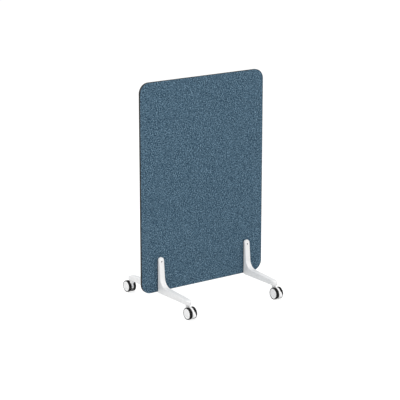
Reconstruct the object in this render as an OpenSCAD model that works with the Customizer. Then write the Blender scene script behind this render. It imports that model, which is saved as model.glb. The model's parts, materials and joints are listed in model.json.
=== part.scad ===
// Rolling partition: a fabric-faced board clamped between four cast legs on twin-wheel casters.
// X runs along the board, Y through its thickness and +Z is up. The front faces -Y.
// The origin lies on the floor, under the middle of the board. Lengths are millimetres.

/* [Board] */
// Width of the board
panel_w = 914; // [800:1:1000]
// Height of the board
panel_h = 1297; // [900:1:1500]
// Clear height between the floor and the board
floor_gap = 88; // [86:1:96]
// Radius of the board's corners, seen from the front
corner_r = 64; // [40:1:110]
// Thickness of the finished board
panel_t = 14; // [13:0.5:18]
// Thickness of the fabric on each face
fabric_t = 1; // [0.8:0.1:1.4]
// Thickness of the edge strip around the board
strip_t = 1.2; // [1:0.1:1.8]

/* [Legs] */
// Distance from the middle of the board to each pair of legs
leg_x = 327; // [240:1:335]
// Width of a leg
leg_w = 36; // [32:1:38]
// Gap between the board's face and the arm of a leg
stand_off = 8; // [7:0.5:10]
// Depth of the arm at its top
arm_t = 17; // [15:0.5:20]
// Height of the arm's top above the board's lower edge
arm_h = 220; // [180:1:260]
// Drop of the foot's underside below the board's lower edge
heel_drop = 5; // [3:0.5:6]
// Radius of the inner bend between arm and foot
bend_r = 58; // [50:1:64]
// Distance from the middle of the board's thickness to the tip of a foot
foot_reach = 328; // [326:1:340]
// Depth of the foot above the caster's stem
foot_t = 31; // [28:0.5:34]

/* [Casters] */
// Distance from the middle of the board's thickness to each swivel axis
stem_y = 301; // [285:1:305]
// Diameter of the wheels
wheel_d = 73; // [70:1:74]
// Width over both wheels of a caster
caster_w = 52; // [50:1:56]
// Distance from the swivel axis to the wheels' axle
trail = 27; // [25:1:30]
// Radial thickness of the tyres
tyre_t = 5; // [3.5:0.5:5.5]

/* [Hidden] */
$fn = 72;

// Which sides the legs and casters stand on: name, side along X, side along Y
CORNERS = [
    ["front_left", -1, -1],
    ["front_right", 1, -1],
    ["back_left", -1, 1],
    ["back_right", 1, 1]
];
// The two wheels of a caster: name, side along X
WHEELS = [["left", -1], ["right", 1]];
BOARD_NODES = ["panel_core", "front_fabric", "back_fabric", "edge_strip"];
FIXING_NODES = ["leg_pads", "clamp_bolts", "sleeve_nuts", "tie_pins", "grub_screws"];
CASTER_NODES = ["caster_stem", "grip_ring", "caster_body", "axle", "brake_lever"];
WHEEL_NODES = ["wheel", "tyre", "wheel_cover"];

// A cut runs this far past the face that it opens, and joined solids share this much
over = 0.5;

// Board: core, strip with a tongue in the core's groove
core_t = panel_t - 2 * fabric_t;
tongue_t = 2;
tongue_depth = 7;
groove_spare = 0.4;

// Leg: side profile in (distance from the board's middle plane, height)
heel_z = floor_gap - heel_drop;
arm_back = panel_t / 2 + stand_off;
dome_r = leg_w / 2;
dome_z = floor_gap + arm_h - dome_r;
dome_recess = 7;
arm_lean = 5;
foot_slope = 3.5;
nose_start = foot_reach - 30;
nose_drop = 17;
front_edge_r = 4.5;
back_edge_r = 2.5;
// Steps along the rounded stretches of a leg
dome_steps = 6;
bend_steps = 12;
nose_steps = 6;
// The rounded ends stop short of a point by this angle
end_angle = 84;

// Rib on the back of the arm and the pad between rib and fabric
rib_w = 20;
pad_t = 2.5;
rib_low = floor_gap + 6;
rib_high = floor_gap + arm_h - 14;

// Through bolt near the top of the arm, in a sleeve nut from the other side
bolt_z = floor_gap + arm_h - 26;
bolt_d = 5;
bolt_hole_d = 5.4;
sleeve_d = 6.5;
sleeve_hole_d = 6.8;
head_d = 8.5;
head_h = 5;
head_hole_d = 9;
head_seat = arm_back + arm_t - 6.5;
key_d = 4.6;
key_depth = 3;
// The bolt, and the bore for it, stop this short of the far head's seat
bolt_short = 14;
bore_short = 13;

// Pin that ties front and back leg together at the heel, held by a grub screw in each leg
pin_z = floor_gap + 20;
pin_d = 10;
pin_hole_d = 10.1;
pin_half = arm_back + 21;
grub_d = 6;
grub_len = 10;
grub_hole_d = 6.1;
grub_y = arm_back + 12;

// Caster stem: shaft in the foot, collar under it, journal in the caster's body
stem_d = 10.8;
stem_hole_d = 11;
stem_len = 22;
ring_groove_d = 9.4;
ring_low = 10;
ring_h = 5;
ring_slot = 1.6;
collar_d = 22;
collar_h = 3.2;
journal_d = 8;
journal_len = 33;
bead_d = 9;
bead_h = 2;
bead_up = 4;
// Running clearance on a radius, and the gap between pieces that pass each other
running = 0.05;
gap = 0.3;

// Caster body between the wheels, and the neck above them
wheel_r = wheel_d / 2;
collar_z = heel_z - collar_h;
neck_top = collar_z - gap;
neck_d = 25;
neck_z = wheel_d * 0.82;
body_half = 6.7;
wheel_inner = body_half + gap;
hood_r = wheel_r + 0.8;
web_r = wheel_r - 5.2;
web_half = 2.6;
hub_wall_r = 10;
stem_wall_half = 10.5;
open_corner = 7;
bore_floor = 4;
hood_end = -0.8;

// Brake lever: a shell over the front of the body that turns about the hub wall and swells to a toe.
// Angles are counted from the stem's side of the axle, over the top.
lever_half = body_half - gap;
lever_inner_r = web_r + 0.4;
lever_ring_r = 13;
lever_from = 92;
swell_from = 105;
swell_power = 3;
toe_at = 187;
lever_steps = 24;
toe_reach = wheel_r + 14.3;
toe_tip_r = 3;
tip_steps = 5;
// Where the tip's centre lies behind the toe, and how far its rounding runs to each side
tip_turn = 27;
tip_over = 20;
tip_under = 38;
toe_half = 9;
toe_room = 1.7;
toe_low = -20;
toe_high = 14;
// Underside of the lever, from the toe back to the wheels
toe_under = [[-39, -18], [-29, -25], [-22.4, -27.2]];

// Wheel: rim, web and boss, turned about the axle
axle_d = 6;
wheel_outer = caster_w / 2;
tyre_inner_r = wheel_r - tyre_t;
tyre_shoulder = 2;
rim_t = 3;
web_from = wheel_inner + 5;
web_t = 3;
boss_r = 7;
boss_end = wheel_outer - 7;
peen_d = 9;
peen_h = 1.2;
cover_t = 2;
cover_dome = 0.7;
skirt_t = 1.2;
skirt_len = 3;

// ---- Placing

// Legs and casters are drawn for the front, reaching towards -Y, and mirrored for the back
module at_corner(corner) {
    translate([corner[1] * leg_x, 0, 0])
        if (corner[2] > 0) mirror([0, 1, 0]) children();
        else children();
}

// Both places along the board where a front leg faces a back leg
module at_leg_pairs() {
    for (side = [-1, 1]) translate([side * leg_x, 0, 0]) children();
}

// A round bar along Y from one distance to another, at height z
module bar_y(d, from, to, z) {
    translate([0, from, z]) rotate([-90, 0, 0]) cylinder(d = d, h = to - from);
}

// ---- Board

module rounded_rectangle(w, h, r) {
    square([w - 2 * r, h], center = true);
    square([w, h - 2 * r], center = true);
    for (x = [-1, 1], y = [-1, 1]) translate([x * (w / 2 - r), y * (h / 2 - r)]) circle(r);
}

// A plate with the board's outline drawn in by inset
module slab(inset, t) {
    translate([0, 0, floor_gap + panel_h / 2]) rotate([90, 0, 0]) linear_extrude(t, center = true)
        rounded_rectangle(panel_w - 2 * inset, panel_h - 2 * inset, corner_r - inset);
}

// What passes through the board: the sleeve nuts and the tie pins
module board_holes() {
    at_leg_pairs() {
        bar_y(sleeve_hole_d, -panel_t, panel_t, bolt_z);
        bar_y(pin_hole_d, -panel_t, panel_t, pin_z);
    }
}

module panel_core() {
    color("tan") difference() {
        slab(strip_t, core_t);
        difference() {
            slab(0, tongue_t);
            slab(strip_t + tongue_depth + groove_spare, panel_t);
        }
        board_holes();
    }
}

module fabric(side) {
    color("#4f6778") difference() {
        translate([0, side * (core_t + fabric_t) / 2, 0]) slab(strip_t, fabric_t);
        board_holes();
    }
}

module edge_strip() {
    color("#3c3b3a") {
        difference() {
            slab(0, panel_t);
            slab(strip_t, panel_t + over);
        }
        difference() {
            slab(strip_t - over, tongue_t);
            slab(strip_t + tongue_depth, panel_t);
        }
    }
}

// ---- Legs

function arc_points(centre, r, from, to, steps) =
    [for (i = [0:steps]) let (a = from + (to - from) * i / steps) centre + r * [cos(a), sin(a)]];

// Front of the arm at height z, and top of the foot at distance u
function arm_front(z) = arm_back + arm_t + (dome_z - z) * tan(arm_lean);
function foot_top(u) = heel_z + foot_t + (stem_y - u) * tan(foot_slope);

// The two lines meet at the bend's corner, and the bend's arc touches both
corner_z = (foot_top(0) - (arm_front(0)) * tan(foot_slope)) / (1 - tan(arm_lean) * tan(foot_slope));
corner_point = [arm_front(corner_z), corner_z];
bend_angle = 90 + arm_lean + foot_slope;
bend_way = (90 + arm_lean - foot_slope) / 2;
bend_centre = corner_point + bend_r / sin(bend_angle / 2) * [cos(bend_way), sin(bend_way)];
bend_points = arc_points(bend_centre, bend_r, 180 + arm_lean, 270 - foot_slope, bend_steps);
bend_top = bend_points[0];
bend_end = bend_points[bend_steps];

// A station is [back point, front point, half width]
dome_stations = [
    for (i = [0:dome_steps])
        let (a = end_angle * (1 - i / dome_steps))
        let (z = dome_z + dome_r * sin(a))
        [[arm_back, z], [arm_front(z) - dome_recess * (1 - cos(a)), z], dome_r * cos(a)]
];
// Back points of the bend run down the arm's back to the heel, then out along the underside
bend_stations = [
    for (i = [0:bend_steps])
        let (t = 2 * i / bend_steps)
        let (down = [arm_back, bend_top[1] + (heel_z - bend_top[1]) * t])
        let (out = [arm_back + (bend_end[0] - arm_back) * (t - 1), heel_z])
        [t < 1 ? down : out, bend_points[i], dome_r]
];
// Over the nose the top falls on a quarter ellipse, and the sides close on a half circle
nose_centre = foot_reach - dome_r;
function nose_fall(u) = nose_drop * (1 - sqrt(1 - pow((u - nose_start) / (foot_reach + 1 - nose_start), 2)));
function nose_station(u, half) = [[u, heel_z], [u, foot_top(u) - nose_fall(u)], half];
shoulder_stations = [
    for (i = [0:2])
        nose_station(nose_start + (nose_centre - nose_start) * i / 3, dome_r)
];
nose_stations = [
    for (i = [0:nose_steps])
        let (a = end_angle * i / nose_steps)
        nose_station(nose_centre + dome_r * sin(a), dome_r * cos(a))
];
leg_stations = concat(dome_stations, bend_stations, shoulder_stations, nose_stations);

// One station's outline as [x, depth from the back], with rounded corners
function outline_points(half, depth) =
    let (rb = min(back_edge_r, half / 2), rf = min(front_edge_r, 0.98 * half, depth / 2))
    concat(
        arc_points([rb - half, rb], rb, 180, 270, 2),
        arc_points([half - rb, rb], rb, 270, 360, 2),
        arc_points([half - rf, depth - rf], rf, 0, 90, 4),
        arc_points([rf - half, depth - rf], rf, 90, 180, 4)
    );
// The same outline set up on its station, in space
function ring_points(s) =
    let (depth = norm(s[1] - s[0]), way = (s[1] - s[0]) / depth)
    [for (p = outline_points(s[2], depth)) [p[0], -(s[0][0] + way[0] * p[1]), s[0][1] + way[1] * p[1]]];

module leg_casting() {
    rings = [for (s = leg_stations) ring_points(s)];
    n = len(rings[0]);
    last = len(rings) - 1;
    polyhedron(
        points = [for (ring = rings) for (p = ring) p],
        faces = concat(
            [[for (j = [0:n - 1]) j]],
            [[for (j = [n - 1:-1:0]) last * n + j]],
            [for (i = [0:last - 1], j = [0:n - 1]) [i * n + (j + 1) % n, i * n + j, (i + 1) * n + j]],
            [for (i = [0:last - 1], j = [0:n - 1])
                [i * n + (j + 1) % n, (i + 1) * n + j, (i + 1) * n + (j + 1) % n]]
        )
    );
}

// Upright strip with round ends, seen from the front, between two distances from the middle plane
module upright(w, near, far) {
    translate([0, -near, 0]) rotate([90, 0, 0]) linear_extrude(far - near) {
        translate([-w / 2, rib_low + w / 2]) square([w, rib_high - rib_low - w]);
        for (z = [rib_low + w / 2, rib_high - w / 2]) translate([0, z]) circle(d = w);
    }
}

module leg(through_d) {
    color("white") difference() {
        union() {
            leg_casting();
            upright(rib_w, panel_t / 2 + pad_t, arm_back + over);
        }
        bar_y(through_d, -head_seat - over, 0, bolt_z);
        bar_y(head_hole_d, -foot_reach, -head_seat, bolt_z);
        bar_y(pin_hole_d, -pin_half - gap, 0, pin_z);
        translate([0, -grub_y, heel_z - over]) cylinder(d = grub_hole_d, h = pin_z - heel_z);
        translate([0, -stem_y, heel_z - over]) cylinder(d = stem_hole_d, h = stem_len + gap + over);
    }
}

module leg_pads() {
    color("dimgray") for (c = CORNERS) at_corner(c) difference() {
        upright(rib_w, panel_t / 2, panel_t / 2 + pad_t);
        bar_y(sleeve_hole_d, -arm_back, 0, bolt_z);
        bar_y(pin_hole_d, -arm_back, 0, pin_z);
    }
}

// ---- Fixings

// Head with a hexagon socket, seated at head_seat in front of the board
module socket_head() {
    difference() {
        bar_y(head_d, -head_seat - head_h, -head_seat, bolt_z);
        translate([0, -head_seat - head_h - over, bolt_z]) rotate([-90, 0, 0])
            cylinder(d = key_d, h = key_depth + over, $fn = 6);
    }
}

module clamp_bolts() {
    color("silver") at_leg_pairs() {
        socket_head();
        bar_y(bolt_d, -head_seat - over, head_seat - bolt_short, bolt_z);
    }
}

module sleeve_nuts() {
    color("silver") at_leg_pairs() difference() {
        union() {
            mirror([0, 1, 0]) socket_head();
            bar_y(sleeve_d, -core_t / 2, head_seat + over, bolt_z);
        }
        bar_y(bolt_d + 2 * running, -panel_t, head_seat - bore_short, bolt_z);
    }
}

module tie_pins() {
    color("silver") at_leg_pairs() bar_y(pin_d, -pin_half, pin_half, pin_z);
}

module grub_screws() {
    color("dimgray") for (c = CORNERS) at_corner(c)
        translate([0, -grub_y, pin_z - pin_d / 2 - grub_len]) difference() {
            cylinder(d = grub_d, h = grub_len);
            translate([0, 0, -over]) cylinder(d = grub_d / 2, h = grub_len / 2, $fn = 6);
        }
}

// ---- Casters, drawn about the swivel axis at a front leg

module at_stem() {
    translate([0, -stem_y, 0]) children();
}

module at_axle() {
    translate([0, -stem_y - trail, wheel_r]) children();
}

module caster_stem() {
    color("silver") at_stem() translate([0, 0, heel_z]) {
        difference() {
            translate([0, 0, -over]) cylinder(d = stem_d, h = stem_len + over);
            translate([0, 0, ring_low]) difference() {
                cylinder(d = stem_hole_d, h = ring_h);
                translate([0, 0, -over]) cylinder(d = ring_groove_d, h = ring_h + 2 * over);
            }
        }
        translate([0, 0, -collar_h]) cylinder(d = collar_d, h = collar_h);
        translate([0, 0, -collar_h - journal_len]) cylinder(d = journal_d, h = journal_len + over);
        translate([0, 0, -collar_h - journal_len + bead_up]) cylinder(d = bead_d, h = bead_h);
    }
}

// Split spring ring that holds the stem in the foot
module grip_ring() {
    color("silver") at_stem() translate([0, 0, heel_z + ring_low]) difference() {
        cylinder(d = stem_hole_d, h = ring_h);
        translate([0, 0, -over]) cylinder(d = ring_groove_d + 2 * running, h = ring_h + 2 * over);
        translate([0, -stem_hole_d / 2, ring_h / 2])
            cube([ring_slot, stem_hole_d, 2 * ring_h], center = true);
    }
}

// Side views are in (distance along Y from the axle, height from the axle)
// Full width of the body: the hood behind the lever, and the wall round the stem up to the neck
module body_outline() {
    intersection() {
        circle(hood_r);
        translate([hood_end, -open_corner]) square(wheel_d);
    }
    translate([trail - body_half, collar_z - journal_len - wheel_r - bore_floor])
        square([2 * body_half, neck_z - collar_z + journal_len + bore_floor]);
}

// Thin web inside the hood and the lever
module web_outline() {
    difference() {
        circle(web_r);
        translate([open_corner, -wheel_r]) square([wheel_r, wheel_r - open_corner]);
    }
}

function lever_r(a) =
    hood_r + (toe_reach - hood_r) * pow(max(0, a - swell_from) / (toe_at - swell_from), swell_power);
function polar(r, a) = r * [cos(a), sin(a)];
tip_centre = polar(toe_reach, toe_at) - polar(toe_tip_r, toe_at - tip_turn);

// The lever's outer outline, closed at the axle
module lever_outline() {
    polygon(concat(
        [[0, 0]],
        [for (i = [0:lever_steps])
            let (a = lever_from + (toe_at - lever_from) * i / lever_steps)
            polar(lever_r(a), a)],
        arc_points(tip_centre, toe_tip_r, toe_at - tip_over, toe_at + tip_under, tip_steps),
        toe_under
    ));
}

// A side view drawn out along X, from one distance to another
module side_plate(from, to) {
    rotate([90, 0, 90]) translate([0, 0, from]) linear_extrude(to - from) children();
}

// A cylinder along X about the axle, from one distance to another
module turned(r, from, to) {
    translate([from, 0, 0]) rotate([0, 90, 0]) cylinder(r = r, h = to - from);
}

module caster_body() {
    color("whitesmoke") difference() {
        union() {
            at_axle() {
                side_plate(-body_half, body_half) body_outline();
                side_plate(-web_half, web_half) web_outline();
                turned(hub_wall_r, -body_half, body_half);
            }
            at_stem() translate([0, 0, neck_z]) cylinder(d = neck_d, h = neck_top - neck_z);
        }
        at_axle() for (side = [-1, 1]) mirror([side < 0 ? 1 : 0, 0, 0]) {
            turned(wheel_r + 2 * gap, body_half, neck_d);
            difference() {
                turned(web_r, web_half, neck_d);
                turned(hub_wall_r, 0, neck_d);
                translate([0, trail, 0])
                    cube([4 * body_half, 2 * stem_wall_half, wheel_d * 2], center = true);
            }
        }
        at_axle() turned(axle_d / 2, -wheel_outer, wheel_outer);
        at_stem() translate([0, 0, collar_z - journal_len - gap])
            cylinder(d = journal_d + 2 * running, h = journal_len + 2 * gap);
        at_stem() translate([0, 0, collar_z - journal_len + bead_up - gap])
            cylinder(d = bead_d + 2 * running, h = bead_h + 2 * gap);
    }
}

module brake_lever() {
    color("whitesmoke") at_axle() {
        difference() {
            side_plate(-lever_half, lever_half) lever_outline();
            turned(lever_inner_r, -body_half, body_half);
        }
        // Pad to step on, clear of the tyres
        difference() {
            side_plate(-toe_half, toe_half) intersection() {
                lever_outline();
                translate([-wheel_d, toe_low]) square([wheel_d, toe_high - toe_low]);
            }
            turned(wheel_r + toe_room, -wheel_outer, wheel_outer);
        }
        // Cheeks in the body's pockets, each with a ring round the hub wall
        for (side = [-1, 1]) mirror([side < 0 ? 1 : 0, 0, 0]) difference() {
            union() {
                side_plate(web_half + gap, lever_half) intersection() {
                    lever_outline();
                    circle(lever_inner_r + over);
                }
                turned(lever_ring_r, web_half + gap, lever_half);
            }
            turned(hub_wall_r + gap, 0, body_half);
        }
    }
}

// Axle with both ends peened over outside the wheels' bosses
module axle() {
    color("silver") at_axle() {
        turned(axle_d / 2, -boss_end - gap - peen_h, boss_end + gap + peen_h);
        for (side = [-1, 1]) mirror([side < 0 ? 1 : 0, 0, 0])
            turned(peen_d / 2, boss_end + gap, boss_end + gap + peen_h);
    }
}

// One wheel is drawn on the +X side of the axle and mirrored for the other
module on_axle(side) {
    at_axle() mirror([side < 0 ? 1 : 0, 0, 0]) rotate([90, 0, 90]) children();
}

module wheel(side) {
    rim_end = wheel_outer - cover_t - gap;
    color("whitesmoke") on_axle(side) rotate_extrude() {
        translate([tyre_inner_r - rim_t, wheel_inner]) square([rim_t, rim_end - wheel_inner]);
        translate([axle_d / 2 + running, web_from]) square([tyre_inner_r - axle_d / 2 - over, web_t]);
        translate([axle_d / 2 + running, wheel_inner]) square([boss_r - axle_d / 2, boss_end - wheel_inner]);
    }
}

module tyre(side) {
    low = wheel_inner + gap;
    high = wheel_outer - gap;
    color("#26262a") on_axle(side) rotate_extrude() {
        translate([tyre_inner_r, low]) square([tyre_t - tyre_shoulder, high - low]);
        translate([tyre_inner_r, low + tyre_shoulder]) square([tyre_t, high - low - 2 * tyre_shoulder]);
        for (s = [low + tyre_shoulder, high - tyre_shoulder])
            translate([wheel_r - tyre_shoulder, s]) intersection() {
                circle(tyre_shoulder);
                translate([-tyre_shoulder / 2, -tyre_shoulder]) square(2 * tyre_shoulder);
            }
    }
}

// Slightly domed disc with a skirt that snaps inside the rim
module wheel_cover(side) {
    disc_r = tyre_inner_r - running;
    skirt_r = tyre_inner_r - rim_t - running;
    back = wheel_outer - cover_t;
    color("white") on_axle(side) rotate_extrude() {
        polygon(concat(
            [[0, back], [disc_r, back]],
            [for (i = [dome_steps:-1:0])
                let (t = i / dome_steps)
                [disc_r * t, wheel_outer - cover_dome * t * t]]
        ));
        translate([skirt_r - skirt_t, back - skirt_len]) square([skirt_t, skirt_len + over]);
    }
}

// ---- The nodes

panel_core();
fabric(-1);  // front_fabric
fabric(1);  // back_fabric
edge_strip();
leg_pads();
clamp_bolts();
sleeve_nuts();
tie_pins();
grub_screws();
for (c = CORNERS) {
    at_corner(c) leg(c[2] < 0 ? bolt_hole_d : sleeve_hole_d);
    at_corner(c) caster_stem();
    at_corner(c) grip_ring();
    at_corner(c) caster_body();
    at_corner(c) axle();
    at_corner(c) brake_lever();
    for (w = WHEELS) {
        at_corner(c) wheel(w[1]);
        at_corner(c) tyre(w[1]);
        at_corner(c) wheel_cover(w[1]);
    }
}
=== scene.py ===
"""Looks of a rolling partition: cloth-faced board, cast legs and twin-wheel casters, round the CAD frame.

X runs along the board, the front faces -Y and +Z is up.
Lengths are metres, and MM turns millimetres into them.
Places come from the frame's nodes and joints. Shapes come from the named sizes below.
"""

import json
import math

import bmesh
import bpy
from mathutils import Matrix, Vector, noise


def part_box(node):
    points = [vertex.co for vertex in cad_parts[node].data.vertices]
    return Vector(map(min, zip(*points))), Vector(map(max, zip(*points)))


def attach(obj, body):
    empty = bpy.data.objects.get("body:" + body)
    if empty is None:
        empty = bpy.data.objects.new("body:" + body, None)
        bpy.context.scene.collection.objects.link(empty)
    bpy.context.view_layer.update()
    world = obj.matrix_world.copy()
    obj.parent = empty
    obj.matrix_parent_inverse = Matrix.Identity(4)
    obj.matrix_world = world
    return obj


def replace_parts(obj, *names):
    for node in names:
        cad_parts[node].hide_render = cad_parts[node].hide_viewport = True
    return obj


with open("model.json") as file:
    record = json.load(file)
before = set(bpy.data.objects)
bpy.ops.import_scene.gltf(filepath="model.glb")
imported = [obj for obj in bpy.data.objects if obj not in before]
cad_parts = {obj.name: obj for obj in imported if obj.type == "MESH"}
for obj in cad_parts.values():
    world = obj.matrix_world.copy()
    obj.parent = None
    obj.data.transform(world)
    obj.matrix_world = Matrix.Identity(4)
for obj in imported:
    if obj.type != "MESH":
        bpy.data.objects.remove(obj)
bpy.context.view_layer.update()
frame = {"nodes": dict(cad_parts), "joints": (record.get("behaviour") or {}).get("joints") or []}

MM = 0.001

# ---- Places, from the frame

JOINTS = {joint["name"]: joint for joint in frame["joints"]}
CORNERS = [
    ("front_left", -1, -1),
    ("front_right", 1, -1),
    ("back_left", -1, 1),
    ("back_right", 1, 1),
]
WHEELS = [("left", -1), ("right", 1)]

strip_low, strip_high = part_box("edge_strip")
core_low, core_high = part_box("panel_core")
leg_low, leg_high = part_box("front_left_leg")
cover_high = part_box("front_left_right_wheel_cover")[1]
body_low, body_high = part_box("front_left_caster_body")
stem_place = Vector(JOINTS["front_left_swivel"]["pos_m"])
axle_place = Vector(JOINTS["front_left_right_spin"]["pos_m"])

PANEL_W = strip_high.x - strip_low.x
PANEL_H = strip_high.z - strip_low.z
PANEL_T = strip_high.y - strip_low.y
PANEL_MID_Z = (strip_high.z + strip_low.z) / 2
CORE_T = core_high.y - core_low.y
STRIP_T = core_low.x - strip_low.x
LEG_X = abs(stem_place.x)
LEG_HALF = (leg_high.x - leg_low.x) / 2
HEEL_Z = leg_low.z
FOOT_REACH = -leg_low.y
ARM_TOP = leg_high.z
STEM_Y = -stem_place.y
AXLE_Y = -axle_place.y
WHEEL_R = axle_place.z
WHEEL_OUTER = cover_high.x + LEG_X
NECK_R = (body_high.x - body_low.x) / 2
NECK_TOP = body_high.z

# ---- Sizes of the shapes

CORNER_R = 64 * MM
# Edge strip: lips over the cloth's rim, tongue in the core's groove
STRIP_EDGE_R = 0.5 * MM
STRIP_CROWN = 0.2 * MM
TONGUE_T = 2 * MM
TONGUE_DEPTH = 7 * MM
STRIP_JOINT = 0.4 * MM
STRIP_CORNER_STEPS = 32
# Cloth: its rim's rounding, its slow wave, and the steps of its mesh
CLOTH_RIM = 0.8 * MM
CLOTH_WAVE = 0.12 * MM
CLOTH_WAVE_SIZE = 90 * MM
CLOTH_COLUMNS = 72
CLOTH_ROWS = 70
CLOTH_CORNER_STEPS = 14
CLOTH_RIM_STEPS = 4
# Leg: side profile
ARM_BACK = 15 * MM
ARM_T = 17 * MM
ARM_LEAN = math.radians(5)
BEND_R = 58 * MM
FOOT_T = 31 * MM
FOOT_SLOPE = math.radians(3.5)
DOME_RECESS = 7 * MM
NOSE_LENGTH = 30 * MM
NOSE_DROP = 17 * MM
# The quarter ellipse that the nose's top falls on ends this far past the tip
NOSE_SPARE = 1 * MM
HEEL_R = 3 * MM
FRONT_EDGE_R = 4.5 * MM
BACK_EDGE_R = 2.5 * MM
# The front rounding takes at most this share of a station's half width
FULL_ROUND = 0.98
# The round ends stop at this angle of their quarter turn, just short of a point
END_ANGLE = math.radians(88)
# Steps along a leg: over the dome, down the arm, round the bend, along the foot, and over the nose's
# shoulder and end
DOME_STEPS = 16
ARM_STEPS = 12
BEND_STEPS = 40
FOOT_STEPS = 18
SHOULDER_STEPS = 8
NOSE_STEPS = 18
# Leg: rib on the back and pad behind it
RIB_HALF = 10 * MM
PAD_T = 2.5 * MM
RIB_UP = 11 * MM
RIB_DOWN = 14 * MM
# The rib runs this far into the arm
RIB_SINK = 0.5 * MM
# Leg: holes
BOLT_DROP = 26 * MM
SLEEVE_HOLE_R = 3.4 * MM
HEAD_HOLE_R = 4.5 * MM
HEAD_SEAT = 25.5 * MM
HOLE_EDGE = 0.6 * MM
PIN_UP = 25 * MM
PIN_HOLE_R = 5.05 * MM
PIN_HALF = 36.3 * MM
GRUB_Y = 27 * MM
GRUB_HOLE_R = 3.05 * MM
STEM_HOLE_R = 5.5 * MM
STEM_HOLE_DEPTH = 22.3 * MM
# Caster body
BODY_HALF = 6.7 * MM
HOOD_R = WHEEL_R + 0.8 * MM
HOOD_END = -0.8 * MM
OPEN_CORNER = 7 * MM
WEB_R = WHEEL_R - 5.2 * MM
WEB_HALF = 2.6 * MM
HUB_WALL_R = 10 * MM
STEM_WALL_HALF = 10.5 * MM
NECK_LOW = 59.9 * MM
# The stem wall runs this far up into the neck
NECK_LAP = 6 * MM
BODY_EDGE_R = 1.1 * MM
EDGE_STEPS = 3
# Room in the neck round the wheels
WHEEL_ROOM = 0.6 * MM
JOURNAL_R = 4.1 * MM
JOURNAL_LOW = 46.3 * MM
AXLE_R = 3 * MM
GAP = 0.3 * MM
CLOSE_FIT = 0.05 * MM
# Where two cuts would meet in one plane, they part by this much
SLIVER = 0.04 * MM
# Brake lever, with angles counted from the stem's side of the axle over the top
LEVER_HALF = BODY_HALF - GAP
LEVER_INNER_R = WEB_R + 0.4 * MM
LEVER_RING_R = 13 * MM
LEVER_FROM = 92
SWELL_FROM = 105
SWELL_POWER = 3
TOE_AT = 187
TOE_REACH = WHEEL_R + 14.3 * MM
TOE_TIP_R = 3 * MM
# Which way the tip's centre lies behind the toe, and how far its rounding runs to each side, in degrees
TIP_TURN = 27
TIP_OVER = 20
TIP_UNDER = 38
TOE_HALF = 9 * MM
TOE_ROOM = 1.7 * MM
TOE_LOW = -20 * MM
TOE_HIGH = 14 * MM
TOE_UNDER = [(-39 * MM, -18 * MM), (-29 * MM, -25 * MM), (-22.4 * MM, -27.2 * MM)]
LEVER_EDGE_R = 1.2 * MM
LEVER_STEPS = 32
# The toe pad's upper and lower end start this far inside the lever's outline
PAD_IN_HIGH = 1 * MM
PAD_IN_LOW = 2 * MM
# The cheeks stop this many degrees short of the lever's ends
CHEEK_SHORT = 0.2
# Wheels
WHEEL_INNER = BODY_HALF + GAP
TYRE_T = 5 * MM
RIM_R = WHEEL_R - TYRE_T
TYRE_EDGE_R = 2 * MM
TREAD_CROWN = 0.25 * MM
TREAD_GROOVE = 0.5 * MM
# The flat of the tread has this many steps to each side of its middle, with a groove at one of them
TREAD_STEPS = 8
GROOVE_STEP = 5
# The round shoulders stop this many degrees before they are level with the tread
SHOULDER_SHORT = 20
RIM_T = 3 * MM
RIM_EDGE_R = 0.6 * MM
WEB_IN = 5 * MM
WEB_T = 3 * MM
BOSS_R = 7 * MM
BOSS_END = 7 * MM
COVER_T = 2 * MM
COVER_DOME = 0.7 * MM
COVER_EDGE_R = 0.5 * MM
COVER_STEPS = 16
SKIRT_T = 1.2 * MM
SKIRT_LENGTH = 3 * MM

BOLT_Z = ARM_TOP - BOLT_DROP
PIN_Z = HEEL_Z + PIN_UP
DOME_Z = ARM_TOP - LEG_HALF
# From the stem out to the axle
TRAIL = AXLE_Y - STEM_Y
# Steps round a full turn
ROUND_STEPS = 96
BORE_STEPS = 64
AXLE_STEPS = 128
# Points closer than this are one
SAME_PLACE = 1e-7


# ---- Curves and skins


def arc(centre, radius, start, end, steps):
    """Points on an arc in a plane, from one angle to another, in degrees."""
    found = []
    for i in range(steps + 1):
        angle = math.radians(start + (end - start) * i / steps)
        found.append(Vector((centre[0] + radius * math.cos(angle), centre[1] + radius * math.sin(angle))))
    return found


def rounded(points, radius, steps=4, most=0.45):
    """A closed outline with each corner eased over that radius, or over most of a side at the most."""
    found = []
    count = len(points)
    for i, corner in enumerate(points):
        corner = Vector(corner)
        back = Vector(points[i - 1]) - corner
        ahead = Vector(points[(i + 1) % count]) - corner
        reach = min(radius, most * back.length, most * ahead.length)
        start = corner + back.normalized() * reach
        end = corner + ahead.normalized() * reach
        for k in range(steps + 1):
            t = k / steps
            found.append(start * (1 - t) ** 2 + corner * 2 * t * (1 - t) + end * t * t)
    return found


def band(bm, a, b):
    """Faces between two closed loops of points."""
    for j in range(len(a)):
        k = (j + 1) % len(a)
        bm.faces.new((a[j], a[k], b[k], b[j]))


def skin(rings, closed_way=False):
    """One closed mesh through rings of equal length. A closed way joins the last ring to the first."""
    bm = bmesh.new()
    grid = [[bm.verts.new(point) for point in ring] for ring in rings]
    for a, b in zip(grid, grid[1:]):
        band(bm, a, b)
    if closed_way:
        band(bm, grid[-1], grid[0])
    else:
        bm.faces.new(grid[0][::-1])
        bm.faces.new(grid[-1])
    return tidy(bm)


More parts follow.
